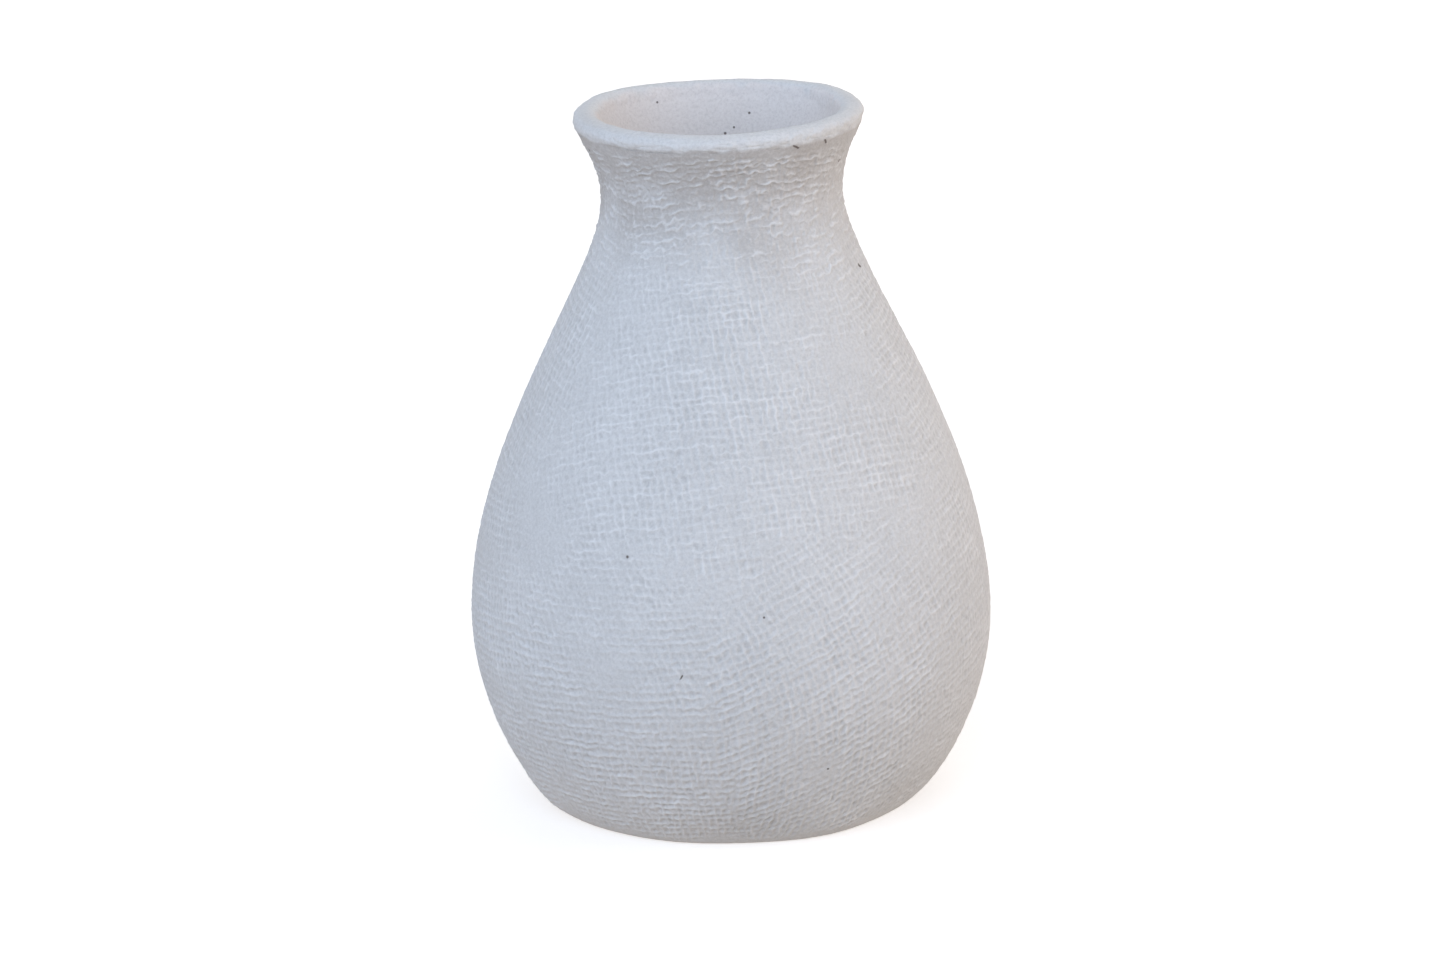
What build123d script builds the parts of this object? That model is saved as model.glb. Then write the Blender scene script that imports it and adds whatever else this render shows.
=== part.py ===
from build123d import *

# Cloth-textured bud vase, hand built from six separate pieces of clay.
#
# A round base slab carries a bowl-shaped belly wall. A long shoulder wall stands on the belly wall and draws in
# to the neck, and a smoothed lip coil closes its flared top. Two more coils are pressed over the seams inside.
# Every piece meets its neighbours face to face on a stepped, bevelled or tongued edge.
#
# Row frame: millimetres, +Z up, origin on the vase's axis, at the level of the ring that it stands on.

import os
from math import atan2, cos, radians, sin, tan

# Whole vase.
HEIGHT = 150.0  # table to the top of the lip
WALL = 5.2  # thickness of the rolled clay that both walls are made from

# Outside stations, as radius and height.
FOOT_R = 38.5  # the flat ring underneath ends here
BELLY_R, BELLY_Z = 55.25, 39.5  # widest ring
NECK_R, NECK_Z = 25.25, 131.0  # narrowest ring
FLARE_R, FLARE_Z = 29.9, 146.0  # top outer edge of the shoulder wall, under the lip

# Directions of the outside line, and how far each curve holds its direction before it turns.
FOOT_TURN = radians(16)  # above the table, where the slab's edge leaves the foot
FLARE_LEAN = radians(27)  # away from upright, under the lip
FOOT_HOLD, BELLY_HOLD_DOWN = 4.6, 19.7
BELLY_HOLD_UP, NECK_HOLD_DOWN = 39.2, 16.2
NECK_HOLD_UP, FLARE_HOLD = 6.6, 5.2

# Lip coil.
LIP_R, LIP_Z = 30.5, 147.6  # widest ring of the lip
LIP_OVERHANG = 0.35  # the lip's lower edge stands this far proud of the wall
MOUTH_R, MOUTH_Z = 25.3, 148.6  # inner edge of the lip
MOUTH_LEAN = radians(16)  # the inside of the flare, away from upright
LIP_TOP_OUT_R, LIP_TOP_MID_R, LIP_TOP_IN_R = 28.4, 27.5, 26.5  # the nearly flat top of the lip
LIP_TOP_FALL = 0.15  # the top falls this far to each side

# Base slab, and the step that centres the belly wall on it.
FLOOR_Z = 7.0  # inside floor
LEDGE_Z = 5.0  # the belly wall stands at this level
STEP_R = 38.2  # the slab's raised middle
DISH_R, DISH_SLOPE, DISH_DEPTH = 29.0, 3.0, 0.8  # hollow underneath, so that the vase doesn't rock

# Bevelled seam between the walls, rising from the outer face to the inner face.
SEAM_R, SEAM_Z = 52.3, 62.0  # where it shows outside
SEAM_SLOPE = 0.5  # height gained for each millimetre inward

# Lip seam: a rounded tongue along the wall's top edge stands in a groove under the lip.
TONGUE_HALF_WIDTH, TONGUE_HEIGHT = 1.2, 1.0

# Coils pressed over the seams inside.
FLOOR_COIL_IN, FLOOR_COIL_UP = 5.0, 6.0  # reach over the floor and up the wall
FLOOR_COIL_HOLLOW_R, FLOOR_COIL_HOLLOW_Z = 38.8, 8.9  # lowest part of its hollow face
SEAM_COIL_R, SEAM_COIL_Z = 46.0, 65.2
SEAM_COIL_HALF_HEIGHT, SEAM_COIL_PROUD = 5.5, 1.7
SEAM_COIL_LEAN = 15.0  # degrees, along the wall

FAR = 200.0  # larger than the vase, for cutting it into regions
UPWARDS = (Align.CENTER, Align.CENTER, Align.MIN)


def ring(*outline):
    """A solid of revolution from the edges of a closed outline, drawn as radius and height."""
    return revolve(Plane.XZ * make_face(list(outline)), Axis.Z, 360)


def closing_lines(edges, *corners):
    """Straight lines from the last edge's end, through the corners, back to the first edge's start."""
    return Polyline(edges[-1] @ 1, *corners, edges[0] @ 0)


def moved_inward(points, distance):
    """A curve's control points, moved sideways so that the curve itself moves in by nearly the distance."""
    turns = [atan2(b[1] - a[1], b[0] - a[0]) for a, b in zip(points, points[1:])]
    moved = []
    for i, (r, z) in enumerate(points):
        before = turns[max(i - 1, 0)]
        after = turns[min(i, len(turns) - 1)]
        middle = (before + after) / 2
        reach = distance / cos((after - before) / 2)
        moved.append((r - reach * sin(middle), z + reach * cos(middle)))
    return moved


# Outside line, from the foot to the flare.
foot_curve = [
    (FOOT_R, 0),
    (FOOT_R + FOOT_HOLD * cos(FOOT_TURN), FOOT_HOLD * sin(FOOT_TURN)),
    (BELLY_R, BELLY_Z - BELLY_HOLD_DOWN),
    (BELLY_R, BELLY_Z),
]
shoulder_curve = [
    (BELLY_R, BELLY_Z),
    (BELLY_R, BELLY_Z + BELLY_HOLD_UP),
    (NECK_R, NECK_Z - NECK_HOLD_DOWN),
    (NECK_R, NECK_Z),
]
flare_curve = [
    (NECK_R, NECK_Z),
    (NECK_R, NECK_Z + NECK_HOLD_UP),
    (FLARE_R - FLARE_HOLD * sin(FLARE_LEAN), FLARE_Z - FLARE_HOLD * cos(FLARE_LEAN)),
    (FLARE_R, FLARE_Z),
]

# Inside line: one wall thickness in as far as the neck, then a gentler flare to the mouth.
inner_foot_curve = moved_inward(foot_curve, WALL)
inner_shoulder_curve = moved_inward(shoulder_curve, WALL)
inner_flare_curve = [
    (NECK_R - WALL, NECK_Z),
    (NECK_R - WALL, NECK_Z + NECK_HOLD_UP),
    (MOUTH_R - FLARE_HOLD * sin(MOUTH_LEAN), MOUTH_Z - FLARE_HOLD * cos(MOUTH_LEAN)),
    (MOUTH_R, MOUTH_Z),
]


def make_clay():
    """The clay of the base and both walls in one ring, for the seams to divide."""
    outline = [Bezier(*foot_curve), Bezier(*shoulder_curve), Bezier(*flare_curve)]
    outside = ring(*outline, closing_lines(outline, (0, FLARE_Z), (0, 0)))
    outline = [Bezier(*inner_foot_curve), Bezier(*inner_shoulder_curve), Bezier(*inner_flare_curve)]
    inside = ring(*outline, closing_lines(outline, (MOUTH_R, FAR), (0, FAR), (0, WALL)))
    return outside - (inside & Pos(0, 0, FLOOR_Z) * Cylinder(FAR, FAR, align=UPWARDS))


def make_base_region():
    """The space below the ledge, and below the floor inside the step."""
    below_ledge = Pos(0, 0, LEDGE_Z - FAR) * Cylinder(FAR, FAR, align=UPWARDS)
    return below_ledge + Cylinder(STEP_R, FLOOR_Z, align=UPWARDS)


def make_belly_region():
    """The space below the bevelled seam, which lies on a cone."""
    peak_z = SEAM_Z + SEAM_SLOPE * SEAM_R
    edge_r = BELLY_R + WALL
    edge_z = peak_z - SEAM_SLOPE * edge_r
    return ring(Polyline((0, -FAR), (edge_r, -FAR), (edge_r, edge_z), (0, peak_z), (0, -FAR)))


def make_base_slab(clay, base_region):
    """The floor slab, with a shallow hollow underneath."""
    dish_edge = DISH_R + DISH_SLOPE
    dish = ring(Polyline((0, 0), (dish_edge, 0), (DISH_R, DISH_DEPTH), (0, DISH_DEPTH), (0, 0)))
    return (clay & base_region) - dish


def make_tongue():
    """The rounded ridge along the middle of the shoulder wall's top edge."""
    middle_r = (MOUTH_R + FLARE_R) / 2
    inner_r, outer_r = middle_r - TONGUE_HALF_WIDTH, middle_r + TONGUE_HALF_WIDTH
    arc = ThreePointArc((outer_r, FLARE_Z), (middle_r, FLARE_Z + TONGUE_HEIGHT), (inner_r, FLARE_Z))
    root_z = FLARE_Z - TONGUE_HEIGHT
    return ring(arc, closing_lines([arc], (inner_r, root_z), (outer_r, root_z)))


def make_lip_coil(shoulder_wall):
    """The lip: a coil with a nearly flat top, a full round outside and a tighter round inside."""
    top_z = HEIGHT - LIP_TOP_FALL
    top_out, top_in = (LIP_TOP_OUT_R, top_z), (LIP_TOP_IN_R, top_z)
    down_the_mouth = (-sin(MOUTH_LEAN), -cos(MOUTH_LEAN))
    outside = Spline(
        (FLARE_R + LIP_OVERHANG, FLARE_Z), (LIP_R, LIP_Z), top_out, tangents=[(1, 1), (-1, LIP_TOP_FALL)]
    )
    top = ThreePointArc(top_out, (LIP_TOP_MID_R, HEIGHT), top_in)
    inside = Spline(top_in, (MOUTH_R, MOUTH_Z), tangents=[(-1, -LIP_TOP_FALL), down_the_mouth])
    mouth_foot_r = MOUTH_R - (MOUTH_Z - FLARE_Z) * tan(MOUTH_LEAN)
    outline = [outside, top, inside]
    return ring(*outline, closing_lines(outline, (mouth_foot_r, FLARE_Z))) - shoulder_wall


def make_floor_seam_coil(clay):
    """The coil in the corner of floor and wall, smoothed hollow with a fingertip."""
    start = (STEP_R - FLOOR_COIL_IN, FLOOR_Z)
    end = (STEP_R + FLOOR_COIL_IN, FLOOR_Z + FLOOR_COIL_UP)
    arc = ThreePointArc(start, (FLOOR_COIL_HOLLOW_R, FLOOR_COIL_HOLLOW_Z), end)
    return ring(arc, closing_lines([arc], (STEP_R + FLOOR_COIL_IN, FLOOR_Z))) - clay


def make_belly_seam_coil(clay):
    """The flattened coil over the inside of the bevelled seam."""
    section = Pos(SEAM_COIL_R, SEAM_COIL_Z) * Rot(0, 0, SEAM_COIL_LEAN) * Ellipse(
        SEAM_COIL_PROUD, SEAM_COIL_HALF_HEIGHT
    )
    return revolve(Plane.XZ * section, Axis.Z, 360) - clay


clay = make_clay()
base_region = make_base_region()
belly_region = make_belly_region()
walls = clay - base_region
shoulder_wall = walls - belly_region + make_tongue()
pieces = {
    "base_slab": make_base_slab(clay, base_region),
    "belly_wall": walls & belly_region,
    "shoulder_wall": shoulder_wall,
    "lip_coil": make_lip_coil(shoulder_wall),
    "floor_seam_coil": make_floor_seam_coil(clay),
    "belly_seam_coil": make_belly_seam_coil(clay),
}

os.makedirs("parts", exist_ok=True)
for name, piece in pieces.items():
    export_step(piece, f"parts/{name}.step")
    box = piece.bounding_box()
    print(f"{name}: {piece.volume / 1000:.1f} cm3, z {box.min.Z:.2f} to {box.max.Z:.2f}")
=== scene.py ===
"""Looks of the cloth-textured bud vase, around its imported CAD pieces.

Row frame in metres: +Z up, the vase's axis on Z, the front faces -Y. Shapes are worked out in millimetres
and scaled when a mesh is made. An azimuth is 0 at the front and grows towards +X.
"""

from math import atan2, cos, pi, radians, sin

import bpy
import numpy as np
from mathutils import Matrix, Vector


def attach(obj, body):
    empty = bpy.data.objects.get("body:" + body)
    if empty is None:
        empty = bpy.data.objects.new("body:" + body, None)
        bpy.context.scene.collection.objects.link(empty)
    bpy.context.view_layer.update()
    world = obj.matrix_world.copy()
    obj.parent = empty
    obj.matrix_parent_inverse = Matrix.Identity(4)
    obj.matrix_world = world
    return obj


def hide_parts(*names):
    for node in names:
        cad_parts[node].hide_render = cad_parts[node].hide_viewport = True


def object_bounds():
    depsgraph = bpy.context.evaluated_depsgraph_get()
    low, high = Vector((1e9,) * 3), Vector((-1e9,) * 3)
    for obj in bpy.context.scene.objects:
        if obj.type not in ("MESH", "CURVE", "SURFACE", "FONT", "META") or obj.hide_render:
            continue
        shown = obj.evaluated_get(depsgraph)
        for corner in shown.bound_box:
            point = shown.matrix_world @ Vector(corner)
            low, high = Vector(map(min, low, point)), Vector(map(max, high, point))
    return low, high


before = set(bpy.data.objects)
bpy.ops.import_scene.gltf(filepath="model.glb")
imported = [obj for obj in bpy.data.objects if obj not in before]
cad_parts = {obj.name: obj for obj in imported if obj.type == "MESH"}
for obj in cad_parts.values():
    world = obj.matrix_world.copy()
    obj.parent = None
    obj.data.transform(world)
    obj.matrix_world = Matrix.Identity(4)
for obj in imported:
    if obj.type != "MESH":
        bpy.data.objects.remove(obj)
cad_low, cad_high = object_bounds()

MM = 0.001

# ---------------------------------------------------------------- the vase's lines, as in the solids

WALL = 5.2
FLOOR_Z, LEDGE_Z, STEP_R = 7.0, 5.0, 38.2
DISH_R, DISH_SLOPE, DISH_DEPTH = 29.0, 3.0, 0.8
SEAM_R, SEAM_Z, SEAM_SLOPE = 52.3, 62.0, 0.5
FLARE_R, FLARE_Z, FLARE_LEAN = 29.9, 146.0, radians(27)
MOUTH_R, MOUTH_Z, MOUTH_LEAN = 25.3, 148.6, radians(16)
FOOT_TURN = radians(16)
TONGUE_R, TONGUE_HALF, TONGUE_UP = (MOUTH_R + FLARE_R) / 2, 1.2, 1.0
TOP_Z = 150.0

FOOT_CURVE = [(38.5, 0), (38.5 + 4.6 * cos(FOOT_TURN), 4.6 * sin(FOOT_TURN)), (55.25, 19.8), (55.25, 39.5)]
SHOULDER_CURVE = [(55.25, 39.5), (55.25, 78.7), (25.25, 114.8), (25.25, 131)]
FLARE_CURVE = [
    (25.25, 131),
    (25.25, 137.6),
    (FLARE_R - 5.2 * sin(FLARE_LEAN), FLARE_Z - 5.2 * cos(FLARE_LEAN)),
    (FLARE_R, FLARE_Z),
]
MOUTH_CURVE = [
    (20.05, 131),
    (20.05, 137.6),
    (MOUTH_R - 5.2 * sin(MOUTH_LEAN), MOUTH_Z - 5.2 * cos(MOUTH_LEAN)),
    (MOUTH_R, MOUTH_Z),
]


def moved_inward(points, distance):
    """A curve's control points, moved sideways so that the curve itself moves in by nearly the distance."""
    turns = [atan2(b[1] - a[1], b[0] - a[0]) for a, b in zip(points, points[1:])]
    moved = []
    for i, (r, z) in enumerate(points):
        before, after = turns[max(i - 1, 0)], turns[min(i, len(turns) - 1)]
        middle, reach = (before + after) / 2, distance / cos((after - before) / 2)
        moved.append((r - reach * sin(middle), z + reach * cos(middle)))
    return moved


def bezier(points, n=400):
    """n points along a cubic curve."""
    p, t = np.array(points, float), np.linspace(0, 1, n)[:, None]
    return (1 - t) ** 3 * p[0] + 3 * (1 - t) ** 2 * t * p[1] + 3 * (1 - t) * t * t * p[2] + t**3 * p[3]


class Line:
    """A line of (radius, height) points by arc length, rising from bottom to top."""

    def __init__(self, *curves):
        p = np.vstack([bezier(curves[0])] + [bezier(c)[1:] for c in curves[1:]])
        self.s = np.concatenate([[0], np.cumsum(np.hypot(*np.diff(p, axis=0).T))])
        self.r, self.z = p.T

    def at_height(self, z):
        """The arc length at a height."""
        return np.interp(z, self.z, self.s)

    def point(self, s):
        """The radius and height at an arc length."""
        return np.interp(s, self.s, self.r), np.interp(s, self.s, self.z)

    def slope(self, s, reach=1.0):
        """dr/ds and dz/ds."""
        r1, z1 = self.point(s + reach)
        r0, z0 = self.point(s - reach)
        length = np.hypot(r1 - r0, z1 - z0)
        return (r1 - r0) / length, (z1 - z0) / length

    def rows(self, z_low, z_high, step):
        """Evenly spaced arc lengths between two heights, both ends included."""
        low, high = self.at_height(z_low), self.at_height(z_high)
        return np.linspace(low, high, int(round((high - low) / step)) + 1)


outer = Line(FOOT_CURVE, SHOULDER_CURVE, FLARE_CURVE)
inner = Line(moved_inward(FOOT_CURVE, WALL), moved_inward(SHOULDER_CURVE, WALL), MOUTH_CURVE)

# ---------------------------------------------------------------- noise

NOISE_CELLS = 32


def noise(points, cell, seed, octaves=1):
    """Smooth noise from about -1 to 1 at points (..., 3) in millimetres, in lumps about one cell across."""
    total, weight = 0.0, 0.0
    for octave in range(octaves):
        rng = np.random.RandomState(seed * 7 + octave)
        table = rng.uniform(-1, 1, (NOISE_CELLS,) * 3)
        q = points / (cell * 0.5**octave) + rng.uniform(0, NOISE_CELLS, 3)
        base = np.floor(q).astype(int)
        f = q - base
        f = f * f * (3 - 2 * f)
        low, high = base % NOISE_CELLS, (base + 1) % NOISE_CELLS
        value = 0.0
        for corner in range(8):
            index, share = [], 1.0
            for axis in range(3):
                up = corner >> axis & 1
                index.append((high if up else low)[..., axis])
                share = share * (f[..., axis] if up else 1 - f[..., axis])
            value = value + table[tuple(index)] * share
        total, weight = total + value * 0.55**octave, weight + 0.55**octave
    return total / weight * 1.6


def smoothstep(low, high, x):
    """0 at low and 1 at high, eased at both ends. It falls instead if low is above high."""
    t = np.clip((x - low) / (high - low), 0, 1)
    return t * t * (3 - 2 * t)


def azimuth_from(azimuth, degrees):
    """The turn in radians from a direction given in degrees, the short way round."""
    return (azimuth - radians(degrees) + pi) % (2 * pi) - pi


def ring_points(r, z, azimuth):
    """Points (..., 3) at a radius, height and azimuth."""
    return np.stack([r * np.sin(azimuth), -r * np.cos(azimuth), z + 0 * azimuth], axis=-1)


COLUMNS = 1200
ROW_STEP = 0.27
azimuths = np.arange(COLUMNS) * 2 * pi / COLUMNS


# How the foot's outline stands off a circle near the table: azimuth, width in degrees, and how far out.
FOOT_BULGES = [(0, 36, -0.9), (26, 16, 0.7), (-18, 14, 0.3), (54, 16, -0.5), (-72, 18, 0.4)]


MOUTH_SQUARING, LIP_LEFT_BULGE = 0.75, 0.5  # how far the mouth is off round


def unevenness(r, z, azimuth):
    """How far the hand-built shape stands off the round one, outwards, in millimetres."""
    points = ring_points(r, z, azimuth)
    lumps = 0.22 * noise(points, 34, 3) + 0.10 * noise(points, 13, 4)
    squaring = -MOUTH_SQUARING * np.cos(4 * azimuth) * (1 - np.cos(azimuth)) / 2
    squaring = squaring + LIP_LEFT_BULGE * np.exp(-((azimuth_from(azimuth, -90) / 0.6) ** 2))
    foot = 0.0
    for at, width, out in FOOT_BULGES:
        foot = foot + out * np.exp(-((azimuth_from(azimuth, at) / radians(width)) ** 2))
    return lumps * smoothstep(0, 12, z) + squaring * smoothstep(118, 149, z) + foot * smoothstep(12, 2, z)


CREASE_DIP, RIM_DIP = 1.1, 0.5


def rim_drop(z, azimuth):
    """How far the flare sags towards the front left, and how far the lip on it is squeezed in front."""
    sag = ((1 + np.cos(azimuth_from(azimuth, -20))) / 2) ** 2 * CREASE_DIP
    squeeze = ((1 + np.cos(azimuth)) / 2) ** 1.5 * RIM_DIP
    return sag * smoothstep(134, FLARE_Z, z) + squeeze * smoothstep(FLARE_Z, TOP_Z, z)


def hand_shape_rim(rows):
    """Lowers whole rows of points by the rim's drop."""
    rows[..., 2] -= rim_drop(rows[..., 2], azimuths[None, :])


# ---------------------------------------------------------------- the pressed cloth

PITCH_ACROSS, PITCH_UP = 1.58, 1.70  # from thread to thread
RIDGE_WIDTH, RIDGE_WINDING = 0.19, 0.07  # in threads
CLOTH_FOLLOWS = 0.55  # how much of the cone's development the cloth shows: it stretches for the rest

# Each press of the cloth: azimuth and height of its middle, rise of the weft to the right and lean of the
# warp to the left there in degrees, how fast the warp bends over further up (tangent per mm), and its reach.
PRESSES = [
    (0, 98, 6, 11, 0.0, 56),
    (27, 44, 23, 19, 0.0115, 38),
    (-27, 42, 3, 20, 0.0110, 37),
    (78, 42, 12, 8, 0.004, 38),
    (-80, 44, 6, 12, 0.006, 38),
    (88, 104, 4, 10, 0.0, 40),
    (-88, 106, -4, 2, 0.0, 42),
    (128, 42, 10, 14, 0.006, 42),
    (-130, 40, 5, 3, 0.0, 42),
    (136, 106, 8, 10, 0.0, 46),
    (-134, 104, -8, -6, 0.0, 46),
    (178, 44, -6, -5, 0.0, 42),
    (180, 110, 3, 3, 0.0, 40),
]


def for_each(number, seed, low, high):
    """A repeatable random value for each thread or gap, given its whole number."""
    return np.random.RandomState(seed).uniform(low, high, 512)[number.astype(int) % 512]


def for_each_cell(across, up, seed):
    """A repeatable random value from 0 to 1 for each cell between four threads."""
    values = np.random.RandomState(seed).uniform(0, 1, (128, 128))
    return values[across.astype(int) % 128, up.astype(int) % 128]


def uneven_threads(x, seed, amount=0.12):
    """Thread coordinates with each thread a little nearer to one neighbour than to the other."""
    number = np.floor(x)
    part = smoothstep(0, 1, x - number)
    shift, next_shift = (for_each(n, seed, -amount, amount) for n in (number, number + 1))
    return x + shift * (1 - part) + next_shift * part


def ridge(x, across, width, winding):
    """Clay squeezed up between two threads: 1 along its crest, which winds round the crossing threads."""
    side = 1 - 2 * (np.round(x) % 2)
    away = x - np.round(x) + winding * side * np.sin(pi * across)
    return np.exp(-((away / width) ** 2))


def weave(u, v, bunched, seed):
    """The print of plain-woven cloth: about 1 on the strongest ridges, and -1 in the deepest dents."""
    u, v = uneven_threads(u, seed), uneven_threads(v, seed + 1)
    flat = np.stack([u * PITCH_ACROSS, v * PITCH_UP, 0 * u], axis=-1)
    along, upwards = np.array([0.5, 1, 1]), np.array([1, 0.5, 1])
    patches = 0.4 * noise(flat * along, 5, seed + 3)
    level = noise(flat * along, 1.15, seed + 2) + patches
    level = 0.66 + 0.04 * bunched + (0.32 + 0.34 * bunched) * level
    level = np.clip(level, 0, 1.3) * for_each(np.round(v), seed + 6, 0.88, 1.12)
    level = level * ridge(v, u, RIDGE_WIDTH - 0.03 * bunched, RIDGE_WINDING * (1 + bunched))
    upright = noise(flat * upwards, 1.2, seed + 4) - patches
    upright = 0.66 - 0.58 * bunched + (0.32 - 0.12 * bunched) * upright
    upright = np.clip(upright, 0, 1.1) * for_each(np.round(u), seed + 7, 0.88, 1.12)
    upright = upright * ridge(u, v, RIDGE_WIDTH, RIDGE_WINDING)
    crests = np.maximum(level, upright) + 0.2 * np.minimum(level, upright)
    cells = 0.5 + 0.7 * for_each_cell(np.floor(u), np.floor(v), seed + 8)
    return crests - cells * np.abs(np.sin(pi * u) * np.sin(pi * v)) * (1 - 0.6 * bunched)


def cloth_map(press, s, azimuth, points, bunched, seed):
    """Thread coordinates of one press, laid half as steeply as the cone that touches the vase there."""
    at, height, rise, lean, bend, _ = press
    s0 = outer.at_height(height)
    r0, _ = outer.point(s0)
    cone = -CLOTH_FOLLOWS * float(outer.slope(s0, 6.0)[0])
    cone = cone if abs(cone) > 0.02 else 0.02
    apex = r0 / cone
    rho = apex - (s - s0)
    r, _ = outer.point(s)
    turn = azimuth_from(azimuth, at)
    swing = turn * cone * (r / (cone * rho)) ** 0.5
    x, y = rho * np.sin(swing), apex - rho * np.cos(swing)
    x = x + 0.5 * noise(points, 20, seed + 1) + 0.15 * noise(points, 4.5, seed + 2)
    x = x + 0.25 * noise(points, 1.25, seed + 5)
    y = y + 0.5 * noise(points, 18, seed + 3) + 0.17 * noise(points, 4.0, seed + 4)
    y = y + 0.25 * noise(points, 1.2, seed + 6)
    y = y + 0.24 * bunched * noise(points, 2.2, seed + 7)
    u = ((x + bend * y * y / 2) * cos(radians(lean)) + y * sin(radians(lean))) / PITCH_ACROSS
    v = (y * cos(radians(rise)) - x * sin(radians(rise))) / PITCH_UP
    return u + 64.37, v + 64.71


def pressed_cloth(s, azimuth, points, bunched):
    """The cloth's print all over the outer wall."""
    claims = []
    wander = 0.10 * noise(points, 16, 40) + 0.07 * noise(points, 5, 41)
    r, _ = outer.point(s)
    for k, press in enumerate(PRESSES):
        s0 = outer.at_height(press[1])
        r0, _ = outer.point(s0)
        turn = azimuth_from(azimuth, press[0])
        away = np.hypot((r + r0) / 2 * turn, s - s0) / press[5]
        claims.append(away + wander * (1 if k % 2 else -1))
    claims = np.array(claims)
    shares = np.exp(-(claims - claims.min(0)) / 0.05)
    shares /= shares.sum(0)
    woven = np.zeros(points.shape[:-1])
    for k, press in enumerate(PRESSES):
        here = shares[k] > 0.03
        if here.any():
            s_here = np.broadcast_to(s, here.shape)[here]
            az_here = np.broadcast_to(azimuth, here.shape)[here]
            u, v = cloth_map(press, s_here, az_here, points[here], bunched[here], 100 + 10 * k)
            woven[here] += shares[k][here] * weave(u, v, bunched[here], 300 + 10 * k)
    return woven


# Places where a thumb smoothed the print away: azimuth, height, reach. The first two are in the photo, and
# the others are made up.
SMEARS = [
    (-27, 41, 7),
    (21, 18, 5),
    (-48, 66, 6),
    (40, 100, 7),
    (120, 70, 8),
    (-150, 48, 9),
    (-95, 84, 7),
    (170, 90, 8),
]

# Folds of the cloth, each from one azimuth and height to another, and how far it stands out. The first two
# are in the photo, and the others are made up.
FOLDS = [
    (20, 90.8, 42, 90.2, 0.11),
    (-12, 34.5, 0, 38, 0.12),
    (-22, 66.2, 12, 65.4, 0.13),
    (140, 60, 158, 63, 0.1),
]


def smoothed_away(r, z, azimuth):
    """How much of the print is left after the smears, 1 for all of it."""
    left = 1.0
    for at, height, reach in SMEARS:
        turn = azimuth_from(azimuth, at)
        left = left * (1 - 0.75 * np.exp(-((r * turn) ** 2 + (z - height) ** 2) / reach**2))
    return left


def folds(z, azimuth, points):
    """How far the folds of the cloth stand out, in millimetres."""
    stands = 0.0
    wavy = z + 0.35 * noise(points, 4, 58)
    for at, height, to, to_height, out in FOLDS:
        turn = azimuth_from(azimuth, (at + to) / 2)
        along = turn / radians((to - at) / 2)
        away = wavy - (height + to_height) / 2 - along * (to_height - height) / 2
        stands = stands + out * np.exp(-((away / 0.45) ** 2)) * smoothstep(1.1, 0.6, np.abs(along))
    return stands


# How far the print stands out in millimetres: everywhere, more where it's bunched, and more low down.
PRINT_DEPTH, BUNCHED_DEPTH, LOW_DEPTH, GRIT_DEPTH = 0.113, 0.095, 0.085, 0.05

# Heights between which the cloth bunches up in the neck, the neck is painted darker with shade, and the print
# gets deeper.
BUNCHED_FROM, BUNCHED_TO = 110, 127
NECK_SHADE_FROM, NECK_SHADE_TO = 112, 139
DEEPER_FROM, DEEPER_TO = 60, 40

# Heights between which the print comes in above the foot and fades out below the lip, and between which the
# wall is moved straight outwards and not along its normal.
PRINT_ABOVE_FOOT, PRINT_BELOW_LIP = (0.3, 3.2), (145.9, 143.4)
STRAIGHT_NEAR_LIP, STRAIGHT_NEAR_FOOT = (141, FLARE_Z - 0.3), (2.5, 0.4)
RELIEF_ENDS = 0.6  # over how many millimetres below the lip the relief dies away

CRINKLES_SHARE = 0.75  # of the neck's crinkles against the print
# The neck's painted shade is weaker towards one side: its azimuth, how far that reaches, and by how much.
LESS_NECK_SHADE_AT, LESS_NECK_SHADE_REACH, LESS_NECK_SHADE_BY = 72, 0.55, 0.5  # degrees, radians, share


def crumpled(points, cell, seed):
    """Thin crests that wander and fork, 1 along each of them and 0 between."""
    return np.clip(1 - 3.4 * np.abs(noise(points, cell, seed)), 0, 1)


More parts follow.
